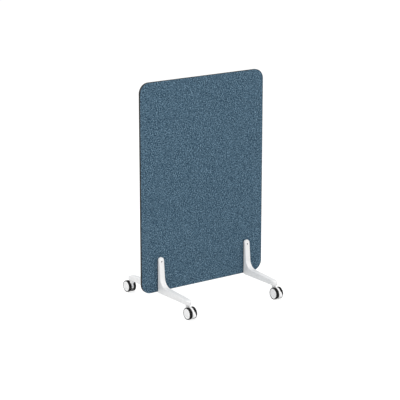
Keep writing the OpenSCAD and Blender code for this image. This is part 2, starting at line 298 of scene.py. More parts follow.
def tidy(bm):
    """Merges points that coincide, drops edges and points without a face, and turns every face outwards."""
    bmesh.ops.remove_doubles(bm, verts=bm.verts, dist=SAME_PLACE)
    bmesh.ops.dissolve_degenerate(bm, edges=bm.edges, dist=SAME_PLACE / 10)
    bmesh.ops.delete(bm, geom=[edge for edge in bm.edges if not edge.link_faces], context="EDGES")
    bmesh.ops.delete(bm, geom=[vert for vert in bm.verts if not vert.link_faces], context="VERTS")
    bmesh.ops.recalc_face_normals(bm, faces=bm.faces)
    return bm


def revolved(profile, centre, axis, steps=ROUND_STEPS):
    """A profile of (radius, distance along the axis) turned about an axis of the frame.

    One that starts and ends on the axis makes a solid with flat ends, and any other closes on itself.
    """
    solid = profile[0][0] == profile[-1][0] == 0
    rings = []
    for radius, along in profile[1:-1] if solid else profile:
        ring = []
        for i in range(steps):
            angle = 2 * math.pi * i / steps
            a, b = radius * math.cos(angle), radius * math.sin(angle)
            offset = {"X": (along, a, b), "Y": (b, along, a), "Z": (a, b, along)}[axis]
            ring.append(Vector(centre) + Vector(offset))
        rings.append(ring)
    return skin(rings, closed_way=not solid)


def extruded(outline, place, half):
    """An outline of (y, z) points drawn out along X to both sides of a place."""
    rings = [
        [Vector((place[0] + side * half, place[1] + y, place[2] + z)) for y, z in outline]
        for side in (-1, 1)
    ]
    return skin(rings)


def rod(centre, axis, radius, start, end, steps=48):
    """A cylinder about an axis of the frame, between two distances along it."""
    return revolved([(0, start), (radius, start), (radius, end), (0, end)], centre, axis, steps)


def combined(bm, others, operation):
    """The boolean of one mesh with several others. The others are used up."""
    base = as_object("base", bm)
    for other in others:
        tool = as_object("tool", other)
        change = base.modifiers.new(operation, "BOOLEAN")
        change.operation = operation
        change.solver = "EXACT"
        change.object = tool
        made = bpy.data.meshes.new_from_object(base.evaluated_get(bpy.context.evaluated_depsgraph_get()))
        base.modifiers.clear()
        bpy.data.objects.remove(tool)
        base.data = made
    bm = bmesh.new()
    bm.from_mesh(base.data)
    bpy.data.objects.remove(base)
    return tidy(bm)


def as_object(name, bm):
    """A mesh object from a mesh under construction, which is used up."""
    mesh = bpy.data.meshes.new(name)
    bm.to_mesh(mesh)
    bm.free()
    made = bpy.data.objects.new(name, mesh)
    bpy.context.scene.collection.objects.link(made)
    return made


def mirrored(bm, flip_x, flip_y, along_x):
    """A copy mirrored in the planes X = 0 and Y = 0 as asked, then moved along X."""
    copy = bm.copy()
    for flip, axis in ((flip_x, 0), (flip_y, 1)):
        if flip:
            for vert in copy.verts:
                vert.co[axis] = -vert.co[axis]
            bmesh.ops.reverse_faces(copy, faces=copy.faces)
    bmesh.ops.translate(copy, verts=copy.verts, vec=(along_x, 0, 0))
    return copy


def finished(name, bm, body, material, sharp=38):
    """A smooth-shaded piece with its own name, body and material.

    It is creased where it turns by more than sharp degrees.
    """
    piece = as_object(name, bm)
    mesh = piece.data
    mesh.polygons.foreach_set("use_smooth", [True] * len(mesh.polygons))
    mesh.set_sharp_from_angle(angle=math.radians(sharp))
    mesh.materials.append(material)
    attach(piece, body)
    return piece


# ---- Materials


class Finish:
    """A procedural material: a Principled shader and the nodes that feed it, in the frame's own metres."""

    def __init__(self, name, **sockets):
        self.material = bpy.data.materials.new(name)
        self.material.use_nodes = True
        self.tree = self.material.node_tree
        self.shader = self.tree.nodes["Principled BSDF"]
        for socket, value in sockets.items():
            self.shader.inputs[socket.replace("_", " ")].default_value = value
        self.place = self.node("ShaderNodeTexCoord").outputs["Object"]

    def node(self, kind, **settings):
        made = self.tree.nodes.new(kind)
        for key, value in settings.items():
            setattr(made, key, value)
        return made

    def wire(self, value, socket):
        """Links an output to a socket, or sets the socket to a number or colour."""
        if isinstance(value, bpy.types.NodeSocket):
            self.tree.links.new(value, socket)
        else:
            socket.default_value = value

    def stretched(self, x=1, y=1, z=1):
        """The place scaled along each axis, so that a texture runs longer where the scale is small."""
        made = self.node("ShaderNodeMapping")
        self.wire(self.place, made.inputs["Vector"])
        made.inputs["Scale"].default_value = (x, y, z)
        return made.outputs["Vector"]

    def noise(self, size, detail=2, rough=0.5, place=None):
        """Smooth noise whose blobs are about size metres across."""
        made = self.node("ShaderNodeTexNoise")
        self.wire(place or self.place, made.inputs["Vector"])
        made.inputs["Scale"].default_value = 1 / size
        made.inputs["Detail"].default_value = detail
        made.inputs["Roughness"].default_value = rough
        return made.outputs["Fac"]

    def waves(self, size, direction):
        """Parallel ridges, size metres apart, that follow each other along one axis."""
        made = self.node("ShaderNodeTexWave", bands_direction=direction, wave_profile="SIN")
        self.wire(self.place, made.inputs["Vector"])
        # At a scale of 1 the node's ridges are pi / 10 apart
        made.inputs["Scale"].default_value = math.pi / (10 * size)
        return made.outputs["Fac"]

    def math(self, operation, a, b):
        made = self.node("ShaderNodeMath", operation=operation)
        self.wire(a, made.inputs[0])
        self.wire(b, made.inputs[1])
        return made.outputs["Value"]

    def spread(self, value, low, high, to_low, to_high):
        """A value's stretch from low to high mapped to another one, and held at its ends."""
        made = self.node("ShaderNodeMapRange")
        for socket, number in zip(made.inputs, (value, low, high, to_low, to_high)):
            self.wire(number, socket)
        return made.outputs["Result"]

    def varied(self, noise, to_low, to_high):
        """Noise stays mostly between 0.3 and 0.7, and this spreads it over another stretch."""
        return self.spread(noise, 0.3, 0.7, to_low, to_high)

    def mix(self, share, a, b):
        """A colour between a, at share 0, and b, at share 1."""
        made = self.node("ShaderNodeMix", data_type="RGBA")
        self.wire(share, made.inputs["Factor"])
        self.wire(a, made.inputs["A"])
        self.wire(b, made.inputs["B"])
        return made.outputs["Result"]

    def ramp(self, value, *stops):
        """Colours at places from 0 to 1 along a value."""
        made = self.node("ShaderNodeValToRGB")
        self.wire(value, made.inputs["Fac"])
        marks = made.color_ramp.elements
        while len(marks) < len(stops):
            marks.new(0.5)
        for mark, (place, colour) in zip(marks, stops):
            mark.position = place
            mark.color = colour
        return made.outputs["Color"]

    def bump(self, height, depth, strength=1.0, under=None):
        """A normal from a height that runs from 0 to depth metres."""
        made = self.node("ShaderNodeBump")
        self.wire(height, made.inputs["Height"])
        made.inputs["Distance"].default_value = depth
        made.inputs["Strength"].default_value = strength
        if under:
            self.wire(under, made.inputs["Normal"])
        return made.outputs["Normal"]

    def set(self, socket, value):
        self.wire(value, self.shader.inputs[socket])


def grey(level, blue=0.0):
    """An opaque colour of one linear level, a little bluer if asked."""
    return (level, level, level + blue, 1)


def cloth_finish():
    """Grey-blue melange cloth: a plain weave of mottled yarns with a fine fleck, a soft nap, and painted
    shade between the yarns.
    """
    made = Finish("melange_cloth", Specular_IOR_Level=0.2, Sheen_Weight=0.04, Sheen_Roughness=0.5)
    yarn = 1.5 * MM
    # Yarns cross over and under in a chequer, and each runs on as a streak of its own tone
    warp = made.waves(yarn, "X")
    weft = made.waves(yarn, "Z")
    over = made.node("ShaderNodeTexChecker")
    over.inputs["Scale"].default_value = 1 / yarn
    made.wire(made.place, over.inputs["Vector"])
    height = made.mix(over.outputs["Fac"], warp, weft)
    warp_tone = made.noise(yarn * 1.4, 2, 0.6, made.stretched(1, 1, 0.2))
    weft_tone = made.noise(yarn * 1.4, 2, 0.6, made.stretched(0.2, 1, 1))
    yarn_tone = made.mix(over.outputs["Fac"], warp_tone, weft_tone)
    # Flecks of lighter and darker fibre, several yarns wide
    fleck = made.noise(7.5 * MM, 2.5, 0.6, made.stretched(1, 1, 1.25))
    tone = made.math("ADD", made.math("MULTIPLY", yarn_tone, 0.45), made.math("MULTIPLY", fleck, 0.55))
    colour = made.ramp(
        tone,
        (0.411, (0.008, 0.024, 0.044, 1)),
        (0.476, (0.030, 0.071, 0.113, 1)),
        (0.524, (0.067, 0.136, 0.201, 1)),
        (0.589, (0.216, 0.343, 0.444, 1)),
    )
    # Painted shade: the colour is multiplied down to 0.78 where the weave lies low between the yarns
    weave_painted_shade = made.spread(height, 0.0, 0.6, 0.78, 1.0)
    shaded = made.node("ShaderNodeMix", data_type="RGBA", blend_type="MULTIPLY")
    shaded.inputs["Factor"].default_value = 1.0
    made.wire(colour, shaded.inputs["A"])
    made.wire(weave_painted_shade, shaded.inputs["B"])
    made.set("Base Color", shaded.outputs["Result"])
    fuzz = made.noise(0.35 * MM, 2, 0.6)
    made.set("Normal", made.bump(fuzz, 0.15 * MM, 0.5, made.bump(height, 0.25 * MM, 0.6)))
    made.set("Roughness", made.varied(fleck, 0.88, 0.97))
    return made.material


def paint_finish():
    """Satin white powder coat on a casting: faint orange peel, slight mottling, scuffs low on the foot."""
    made = Finish("white_powder_coat", Specular_IOR_Level=0.45, Coat_Weight=0.08, Coat_Roughness=0.25)
    mottle = made.noise(35 * MM, 3, 0.6)
    body = made.mix(made.varied(mottle, 0, 1), grey(0.80), grey(0.86))
    scuff = made.noise(4 * MM, 5, 0.75, made.stretched(0.4, 0.4, 1.6))
    height = made.node("ShaderNodeSeparateXYZ")
    made.wire(made.place, height.inputs["Vector"])
    low = made.spread(height.outputs["Z"], HEEL_Z, HEEL_Z + 6 * MM, 1, 0)
    worn = made.math("MULTIPLY", made.spread(scuff, 0.60, 0.66, 0, 0.5), low)
    made.set("Base Color", made.mix(worn, body, grey(0.52)))
    made.set("Roughness", made.varied(mottle, 0.36, 0.46))
    peel = made.noise(1.6 * MM, 2, 0.5)
    grain = made.noise(0.4 * MM, 1, 0.5)
    made.set("Normal", made.bump(grain, 0.02 * MM, 0.4, made.bump(peel, 0.06 * MM, 0.5)))
    return made.material


def nylon_finish():
    """White moulded nylon, smooth and a little shiny, with floor dust in faint patches."""
    made = Finish("white_nylon", Coat_Weight=0.05, Coat_Roughness=0.2, Subsurface_Weight=0.05)
    made.shader.inputs["Subsurface Radius"].default_value = (2 * MM, 2 * MM, 2 * MM)
    dust = made.noise(9 * MM, 4, 0.65)
    made.set("Base Color", made.mix(made.spread(dust, 0.52, 0.75, 0, 0.6), grey(0.87), grey(0.77)))
    made.set("Roughness", made.varied(dust, 0.26, 0.42))
    grain = made.noise(0.5 * MM, 2, 0.5)
    made.set("Normal", made.bump(grain, 0.02 * MM, 0.5))
    return made.material


def tyre_finish():
    """Black soft tread with a fine moulded grain, greyed where floor dust clings to it."""
    made = Finish("black_tread", Specular_IOR_Level=0.18)
    dust = made.noise(5 * MM, 5, 0.7)
    made.set("Base Color", made.mix(made.spread(dust, 0.5, 0.8, 0, 0.5), grey(0.004), grey(0.014)))
    made.set("Roughness", made.varied(dust, 0.55, 0.8))
    grain = made.noise(0.6 * MM, 3, 0.6)
    made.set("Normal", made.bump(grain, 0.06 * MM, 0.6))
    return made.material


def strip_finish():
    """Dark grey extruded plastic with fine draw lines along its length."""
    made = Finish("dark_strip", Specular_IOR_Level=0.03)
    mottle = made.noise(20 * MM, 3, 0.6)
    made.set("Base Color", made.mix(made.varied(mottle, 0, 1), grey(0.034), grey(0.046)))
    lines = made.noise(0.5 * MM, 2, 0.5, made.stretched(0.02, 1, 0.02))
    made.set("Roughness", made.varied(lines, 0.65, 0.85))
    made.set("Normal", made.bump(lines, 0.03 * MM, 0.5))
    return made.material


def steel_finish(name, level, rough):
    """Plated or oiled steel with fine turning marks and a little mottling."""
    made = Finish(name, Metallic=1.0)
    mottle = made.noise(3 * MM, 4, 0.65)
    share = made.varied(mottle, 0, 1)
    made.set("Base Color", made.mix(share, grey(level * 0.85), grey(level, 0.01)))
    made.set("Roughness", made.varied(mottle, rough * 0.8, rough * 1.2))
    marks = made.noise(0.3 * MM, 2, 0.5, made.stretched(0.1, 0.1, 1))
    made.set("Normal", made.bump(marks, 0.01 * MM, 0.6))
    return made.material


def rubber_finish():
    """Dark grey rubber with a fine matt grain."""
    made = Finish("pad_rubber", Specular_IOR_Level=0.3)
    grain = made.noise(0.8 * MM, 4, 0.6)
    made.set("Base Color", made.mix(grain, grey(0.04), grey(0.07)))
    made.set("Roughness", made.varied(grain, 0.75, 0.9))
    made.set("Normal", made.bump(grain, 0.05 * MM, 0.6))
    return made.material


def board_finish():
    """Raw fibreboard: tan, speckled with pressed fibres."""
    made = Finish("raw_fibreboard")
    fibre = made.noise(1.2 * MM, 4, 0.7, made.stretched(0.4, 1, 1))
    made.set("Base Color", made.ramp(fibre, (0.3, (0.30, 0.20, 0.11, 1)), (0.7, (0.50, 0.37, 0.23, 1))))
    made.set("Roughness", made.varied(fibre, 0.8, 0.95))
    made.set("Normal", made.bump(fibre, 0.05 * MM, 0.5))
    return made.material


CLOTH = cloth_finish()
PAINT = paint_finish()
NYLON = nylon_finish()
TREAD = tyre_finish()
STRIP = strip_finish()
BRIGHT_STEEL = steel_finish("zinc_steel", 0.60, 0.32)
DARK_STEEL = steel_finish("oiled_steel", 0.02, 0.6)
RUBBER = rubber_finish()
FIBREBOARD = board_finish()


# ---- Board


def board_outline(inset, steps):
    """The board's outline drawn in by inset, as (x, z, outward normal).

    It runs counter-clockwise from the bottom's middle, with so many steps round each corner.
    """
    half_w, half_h, radius = PANEL_W / 2, PANEL_H / 2, CORNER_R
    found = [(0, -half_h + inset, Vector((0, -1)))]
    for k, (sx, sz) in enumerate(((1, -1), (1, 1), (-1, 1), (-1, -1))):
        centre = Vector((sx * (half_w - radius), sz * (half_h - radius)))
        for point in arc((0, 0), 1, 90 * k - 90, 90 * k, steps):
            edge = centre + point * (radius - inset)
            found.append((edge.x, edge.y, point))
    found.append((0, -half_h + inset, Vector((0, -1))))
    return found


def edge_strip():
    """T-shaped strip all round: a slightly crowned band with eased lips, and a tongue.

    Its ends butt under the board.
    """
    half, tongue = PANEL_T / 2, TONGUE_T / 2
    profile = rounded(
        [(0, -half), (0, half), (-STRIP_T, half), (-STRIP_T, tongue), (-STRIP_T - TONGUE_DEPTH, tongue),
         (-STRIP_T - TONGUE_DEPTH, -tongue), (-STRIP_T, -tongue), (-STRIP_T, -half)],
        STRIP_EDGE_R,
    )
    rings = []
    way = board_outline(0, STRIP_CORNER_STEPS)
    for i, (x, z, normal) in enumerate(way):
        x += {0: STRIP_JOINT, len(way) - 1: -STRIP_JOINT}.get(i, 0) / 2
        ring = []
        for out, across in profile:
            drop = STRIP_CROWN * (across / half) ** 2 if out > -STRIP_T / 2 else 0
            reach = out - drop
            ring.append(Vector((x + normal.x * reach, across, PANEL_MID_Z + z + normal.y * reach)))
        rings.append(ring)
    piece = finished("edge_trim", skin(rings), "root", STRIP)
    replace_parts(piece, "edge_strip")


def cloth_rows():
    """Rows of the cloth, bottom to top: (height from the middle, half width, angle of the rim's normal)."""
    radius = CORNER_R - STRIP_T - CLOTH_RIM
    half_w = PANEL_W / 2 - STRIP_T - CLOTH_RIM - radius
    half_h = PANEL_H / 2 - STRIP_T - CLOTH_RIM - radius
    corner = [math.pi / 2 * k / CLOTH_CORNER_STEPS for k in range(CLOTH_CORNER_STEPS + 1)]
    rows = [(-half_h - radius * math.sin(a), half_w + radius * math.cos(a), -a) for a in reversed(corner)]
    rows += [(half_h * (2 * k / CLOTH_ROWS - 1), half_w + radius, 0) for k in range(1, CLOTH_ROWS)]
    rows += [(half_h + radius * math.sin(a), half_w + radius * math.cos(a), a) for a in corner]
    return rows


def cloth_dip(x, side, z):
    """How far the cloth's face stands behind its highest place: a slow wave, none at the border."""
    calm = min(1, (PANEL_W / 2 - abs(x)) / CLOTH_WAVE_SIZE, (PANEL_H / 2 - abs(z)) / CLOTH_WAVE_SIZE)
    wave = CLOTH_WAVE * calm * noise.noise(Vector((x, side, z)) / CLOTH_WAVE_SIZE)
    return (CLOTH_WAVE - wave) * calm


def cloth_grids(bm, rows, side):
    """The cloth's face and its flat back, each a grid of points with faces between them."""
    face, back = [], []
    for z, half, _ in rows:
        face.append([])
        back.append([])
        for j in range(CLOTH_COLUMNS + 1):
            x = half * (2 * j / CLOTH_COLUMNS - 1)
            dip = cloth_dip(x, side, z)
            face[-1].append(bm.verts.new((x, side * (PANEL_T / 2 - dip), PANEL_MID_Z + z)))
            back[-1].append(bm.verts.new((x, side * CORE_T / 2, PANEL_MID_Z + z)))
    for grid in (face, back):
        for low, high in zip(grid, grid[1:]):
            for j in range(CLOTH_COLUMNS):
                bm.faces.new((low[j], low[j + 1], high[j + 1], high[j]))
    return face, back


def cloth_border(rows):
    """Bottom row, right side, top row and left side, as (row, column, angle of the rim's normal)."""
    last = len(rows) - 1
    way = [(0, j, -math.pi / 2) for j in range(CLOTH_COLUMNS)]
    way += [(i, CLOTH_COLUMNS, rows[i][2]) for i in range(last)]
    way += [(last, CLOTH_COLUMNS - j, math.pi / 2) for j in range(CLOTH_COLUMNS)]
    way += [(last - i, 0, math.pi - rows[last - i][2]) for i in range(last)]
    return way


def cloth_rim(bm, face, back, way, side):
    """Bands round the border: from the face, rolled over a quarter turn, then straight to the back."""
    loops = [[face[i][j] for i, j, _ in way]]
    for k in range(1, CLOTH_RIM_STEPS + 2):
        turn = math.pi / 2 * min(k, CLOTH_RIM_STEPS) / CLOTH_RIM_STEPS
        out = CLOTH_RIM * math.sin(turn)
        drop = CLOTH_RIM * (1 - math.cos(turn)) if k <= CLOTH_RIM_STEPS else (PANEL_T - CORE_T) / 2
        y = side * (PANEL_T / 2 - drop)
        loop = []
        for i, j, angle in way:
            start = back[i][j].co
            loop.append(bm.verts.new((start.x + out * math.cos(angle), y, start.z + out * math.sin(angle))))
        loops.append(loop)
    loops.append([back[i][j] for i, j, _ in way])
    for a, b in zip(loops, loops[1:]):
        band(bm, a, b)


def cloth(name, side):
    """A stretched sheet on one side: a hardly waving face, a rim rolled under the strip and a flat back."""
    rows = cloth_rows()
    bm = bmesh.new()
    face, back = cloth_grids(bm, rows, side)
    cloth_rim(bm, face, back, cloth_border(rows), side)
    holes = []
    for x in (-LEG_X, LEG_X):
        holes.append(rod((x, 0, BOLT_Z), "Y", SLEEVE_HOLE_R, -PANEL_T, PANEL_T))
        holes.append(rod((x, 0, PIN_Z), "Y", PIN_HOLE_R, -PANEL_T, PANEL_T))
    made = combined(tidy(bm), holes, "DIFFERENCE")
    piece = finished(name, made, "root", CLOTH, sharp=60)
    return piece


# ---- Legs


def arm_front(z):
    """Distance of the arm's front from the board's middle plane, at a height."""
    return ARM_BACK + ARM_T + (DOME_Z - z) * math.tan(ARM_LEAN)


def foot_top(u):
    """Height of the foot's top, at a distance from the board's middle plane."""
    return HEEL_Z + FOOT_T + (STEM_Y - u) * math.tan(FOOT_SLOPE)


def bend_front():
    """The arc from the arm's front to the foot's top, as (distance from the middle plane, height)."""
    lean, slope = math.tan(ARM_LEAN), math.tan(FOOT_SLOPE)
    corner_z = (foot_top(0) - arm_front(0) * slope) / (1 - lean * slope)
    corner = Vector((arm_front(corner_z), corner_z))
    opening = (math.pi / 2 + ARM_LEAN + FOOT_SLOPE) / 2
    way = (math.pi / 2 + ARM_LEAN - FOOT_SLOPE) / 2
    centre = corner + Vector((math.cos(way), math.sin(way))) * BEND_R / math.sin(opening)
    return arc(centre, BEND_R, 180 + math.degrees(ARM_LEAN), 270 - math.degrees(FOOT_SLOPE), BEND_STEPS)


def arm_stations(low):
    """Over the round top and down the arm to a height."""
    stations = []
    for i in range(DOME_STEPS + 1):
        angle = END_ANGLE * (1 - i / DOME_STEPS)
        z = DOME_Z + LEG_HALF * math.sin(angle)
        front = arm_front(z) - DOME_RECESS * (1 - math.cos(angle))
        stations.append((Vector((ARM_BACK, z)), Vector((front, z)), LEG_HALF * math.cos(angle)))
    for i in range(1, ARM_STEPS):
        z = DOME_Z + (low - DOME_Z) * i / ARM_STEPS
        stations.append((Vector((ARM_BACK, z)), Vector((arm_front(z), z)), LEG_HALF))
    return stations


def bend_stations(bend):
    """Round the bend, while the back runs down to the heel, round it and out along the underside."""
    stations = []
    down = bend[0].y - HEEL_Z - HEEL_R
    out = bend[-1].x - ARM_BACK - HEEL_R
    turn = HEEL_R * math.pi / 2
    for i, front in enumerate(bend):
        t = 2 * i / (len(bend) - 1)
        run = t * (down + turn / 2) if t < 1 else down + turn / 2 + (t - 1) * (out + turn / 2)
        if run < down:
            back = Vector((ARM_BACK, bend[0].y - run))
        elif run < down + turn:
            angle = math.pi + (run - down) / HEEL_R
            heel = Vector((ARM_BACK + HEEL_R, HEEL_Z + HEEL_R))
            back = heel + HEEL_R * Vector((math.cos(angle), math.sin(angle)))
        else:
            back = Vector((ARM_BACK + HEEL_R + run - down - turn, HEEL_Z))
        stations.append((back, front, LEG_HALF))
    return stations


def foot_stations(start):
    """Out along the foot and over the nose, where the top falls and the sides close.

    The top falls on a quarter ellipse, and the sides close in a half circle.
    """
    nose_start = FOOT_REACH - NOSE_LENGTH
    nose_centre = FOOT_REACH - LEG_HALF

    def station(u, half):
        past = max(0, u - nose_start) / (NOSE_LENGTH + NOSE_SPARE)
        fall = NOSE_DROP * (1 - math.sqrt(1 - past * past))
        return Vector((u, HEEL_Z)), Vector((u, foot_top(u) - fall)), half

    stations = []
    for i in range(1, FOOT_STEPS):
        stations.append(station(start + (nose_start - start) * i / FOOT_STEPS, LEG_HALF))
    for i in range(SHOULDER_STEPS):
        stations.append(station(nose_start + (nose_centre - nose_start) * i / SHOULDER_STEPS, LEG_HALF))
    for i in range(NOSE_STEPS + 1):
        angle = END_ANGLE * i / NOSE_STEPS
        stations.append(station(nose_centre + LEG_HALF * math.sin(angle), LEG_HALF * math.cos(angle)))
    return stations


def leg_stations():
    """Down the arm, round the bend and along the foot: (back point, front point, half width).

    A point is (distance from the board's middle plane, height).
    """
    bend = bend_front()
    return arm_stations(bend[0].y) + bend_stations(bend) + foot_stations(bend[-1].x)


def station_ring(back, front, half):
    """One station's outline with rounded corners, set up across the front left leg."""
    depth = (front - back).length
    way = (front - back) / depth
    small = min(BACK_EDGE_R, half / 2)
    large = min(FRONT_EDGE_R, FULL_ROUND * half, depth / 2)
    outline = arc((small - half, small), small, 180, 270, 5)
    outline += arc((half - small, small), small, 270, 360, 5)
    outline += arc((half - large, depth - large), large, 0, 90, 10)
    outline += arc((large - half, depth - large), large, 90, 180, 10)
    ring = []
    for across, deep in outline:
        point = back + way * deep
        ring.append(Vector((across, -point.x, point.y)))
    return ring


def rib():
    """Upright strip with round ends on the back of the arm, at the leg's own middle."""
    low = HEEL_Z + RIB_UP + RIB_HALF
    high = ARM_TOP - RIB_DOWN - RIB_HALF
    outline = arc((0, high), RIB_HALF, 0, 180, 24) + arc((0, low), RIB_HALF, 180, 360, 24)
    near, far = -PANEL_T / 2 - PAD_T, -ARM_BACK - RIB_SINK
    return skin([[Vector((x, y, z)) for x, z in outline] for y in (near, far)])


def leg():
    """The casting, drawn at x = 0 and reaching towards -Y, with its rib, recess, bores and screw hole."""
    past = LEG_HALF * 2
    face = -arm_front(BOLT_Z)
    recess = [
        (0, 0), (SLEEVE_HOLE_R, 0), (SLEEVE_HOLE_R, -HEAD_SEAT), (HEAD_HOLE_R, -HEAD_SEAT),
        (HEAD_HOLE_R, face + HOLE_EDGE), (HEAD_HOLE_R + 2 * HOLE_EDGE, face - HOLE_EDGE),
        (HEAD_HOLE_R + 2 * HOLE_EDGE, face - past), (0, face - past),
    ]
    stem_mouth = [
        (0, STEM_HOLE_DEPTH), (STEM_HOLE_R, STEM_HOLE_DEPTH), (STEM_HOLE_R, HOLE_EDGE),
        (STEM_HOLE_R + 2 * HOLE_EDGE, -HOLE_EDGE), (STEM_HOLE_R + 2 * HOLE_EDGE, -past), (0, -past),
    ]
    casting = combined(skin([station_ring(*station) for station in leg_stations()]), [rib()], "UNION")
    cutters = [
        revolved(recess, (0, 0, BOLT_Z), "Y", BORE_STEPS),
        rod((0, 0, PIN_Z), "Y", PIN_HOLE_R, -PIN_HALF, 0),
        revolved(stem_mouth, (0, -STEM_Y, HEEL_Z), "Z", BORE_STEPS),
        rod((0, -GRUB_Y, HEEL_Z), "Z", GRUB_HOLE_R, -HOLE_EDGE, PIN_UP),
    ]
    return combined(casting, cutters, "DIFFERENCE")


# ---- Casters, drawn at x = 0 about the front stem

AXLE_PLACE = Vector((0, -AXLE_Y, WHEEL_R))


def side_plate(outline, half, edge):
    """A side view drawn out to both sides, with eased rims.

    Its points are (distance along Y from the axle, height from the axle).
    """
    plate = extruded(outline, AXLE_PLACE, half)
    rims = [e for e in plate.edges if e.verts[0].co.x == e.verts[1].co.x]
    if edge:
        bmesh.ops.bevel(
            plate, geom=rims, offset=edge, segments=EDGE_STEPS, profile=0.5,
            affect="EDGES", clamp_overlap=True,
        )
    return plate


def polar(radius, angle):
    """A point of the side view, at a distance from the axle and an angle in degrees."""
    return Vector((radius * math.cos(math.radians(angle)), radius * math.sin(math.radians(angle))))


def axle_rod(radius, start, end):
    """A cylinder about the axle's line, between two distances from the caster's middle."""
    return rod(AXLE_PLACE, "X", radius, start, end, AXLE_STEPS)


def hood_plate():
    """The full-width plate between the wheels: the hood, and the stem wall that rises into the neck."""
    near, far = TRAIL - BODY_HALF, TRAIL + BODY_HALF
    wall_top = NECK_LOW - WHEEL_R + NECK_LAP
    low_angle = -math.degrees(math.asin(OPEN_CORNER / HOOD_R))
    end_angle = math.degrees(math.acos(HOOD_END / HOOD_R))
    outline = [Vector((HOOD_END, -OPEN_CORNER))]
    outline += arc((0, 0), HOOD_R, low_angle, math.degrees(math.acos(far / HOOD_R)), 12)
    outline += [Vector((far, wall_top)), Vector((near, wall_top))]
    outline += arc((0, 0), HOOD_R, math.degrees(math.acos(near / HOOD_R)), end_angle, 24)
    return side_plate(outline, BODY_HALF, BODY_EDGE_R)


def web_plate():
    """The thin round web, cut away below on the stem's side."""
    cut_angle = math.degrees(math.asin(OPEN_CORNER / WEB_R))
    outline = arc((0, 0), WEB_R, -cut_angle, 270 + cut_angle, 96)
    outline.append(Vector((OPEN_CORNER, SLIVER - OPEN_CORNER)))
    return side_plate(outline, WEB_HALF, 0)


def neck():
    """The round neck over the stem."""
    rim = NECK_R - BODY_EDGE_R
    profile = [(0, NECK_LOW)] + arc((rim, NECK_LOW + BODY_EDGE_R), BODY_EDGE_R, -90, 0, 5)
    profile += arc((rim, NECK_TOP - BODY_EDGE_R), BODY_EDGE_R, 0, 90, 5) + [(0, NECK_TOP)]
    return revolved(profile, (0, -STEM_Y, 0), "Z")


def body_pocket(side):
    """What one side of the body loses beside its web: a ring round the hub wall, but not the stem wall."""
    pocket, hub_r = side * (WEB_HALF + SLIVER), HUB_WALL_R + SLIVER
    past = side * 2 * BODY_HALF
    ring = [(hub_r, pocket), (WEB_R, pocket), (WEB_R, past), (hub_r, past)]
    low, high = TRAIL - STEM_WALL_HALF, TRAIL + STEM_WALL_HALF
    wall = [(low, -WHEEL_R), (high, -WHEEL_R), (high, WHEEL_R), (low, WHEEL_R)]
    block = extruded(wall, AXLE_PLACE, NECK_R)
    return combined(revolved(ring, AXLE_PLACE, "X"), [block], "DIFFERENCE")


def caster_body():
    """Moulded body: hood and stem wall of full width, thin web, hub wall and a round neck over the stem."""
    hub = axle_rod(HUB_WALL_R, SLIVER - BODY_HALF, BODY_HALF - SLIVER)
    body = combined(hood_plate(), [web_plate(), hub, neck()], "UNION")
    cutters = []
    for side in (-1, 1):
        cutters.append(axle_rod(WHEEL_R + WHEEL_ROOM, side * (BODY_HALF + SLIVER), side * 3 * BODY_HALF))
        cutters.append(body_pocket(side))
    cutters.append(rod((0, -STEM_Y, 0), "Z", JOURNAL_R, JOURNAL_LOW, NECK_TOP + NECK_R))
    cutters.append(axle_rod(AXLE_R, -NECK_R, NECK_R))
    return combined(body, cutters, "DIFFERENCE")


def lever_outline():
    """The lever's outer side: off the hood, swelling to the toe, round its tip and back underneath."""
    outline = []
    for i in range(LEVER_STEPS + 1):
        angle = LEVER_FROM + (TOE_AT - LEVER_FROM) * i / LEVER_STEPS
        swell = max(0, angle - SWELL_FROM) / (TOE_AT - SWELL_FROM)
        outline.append(polar(HOOD_R + (TOE_REACH - HOOD_R) * swell ** SWELL_POWER, angle))
    tip = polar(TOE_REACH, TOE_AT) - polar(TOE_TIP_R, TOE_AT - TIP_TURN)
    outline += arc(tip, TOE_TIP_R, TOE_AT - TIP_OVER, TOE_AT + TIP_UNDER, 8)
    outline += [Vector(point) for point in TOE_UNDER]
    return outline


def toe_pad(outline):
    """The wide toe in front of both wheels, clear of their tyres."""
    room = WHEEL_R + TOE_ROOM
    front = [p for p in outline if TOE_LOW < p.y < TOE_HIGH and p.length > room]
    pad = [Vector((front[0].x + PAD_IN_HIGH, TOE_HIGH))] + front
    pad.append(Vector((front[-1].x + PAD_IN_LOW, TOE_LOW)))
    high = 180 - math.degrees(math.asin(TOE_HIGH / room))
    low = 180 - math.degrees(math.asin(TOE_LOW / room))
    return side_plate(pad + arc((0, 0), room, low, high, 24), TOE_HALF, LEVER_EDGE_R)


def brake_lever():
    """Curved lever over the front of the body: a shell, a toe pad, and cheeks round the hub wall."""
    outline = lever_outline()
    last = 360 + math.degrees(math.atan2(outline[-1].y, outline[-1].x))
    shell = side_plate(outline + arc((0, 0), LEVER_INNER_R, last, LEVER_FROM, 48), LEVER_HALF, LEVER_EDGE_R)
    cheek = arc((0, 0), LEVER_INNER_R + GAP, LEVER_FROM + CHEEK_SHORT, last - CHEEK_SHORT, 48)
    cheek.append(Vector((0, 0)))
    inner, outer = WEB_HALF + GAP, LEVER_HALF - SLIVER
    others = [toe_pad(outline)]
    for side in (-1, 1):
        middle = AXLE_PLACE + Vector((side * (inner + outer) / 2, 0, 0))
        others.append(extruded(cheek, middle, (outer - inner) / 2))
        others.append(axle_rod(LEVER_RING_R, side * (inner + SLIVER), side * (outer - SLIVER)))
    lever = combined(shell, others, "UNION")
    return combined(lever, [axle_rod(HUB_WALL_R + GAP, -NECK_R, NECK_R)], "DIFFERENCE")


# ---- Wheels of the +X side, as closed profiles of (radius, distance from the caster's middle)


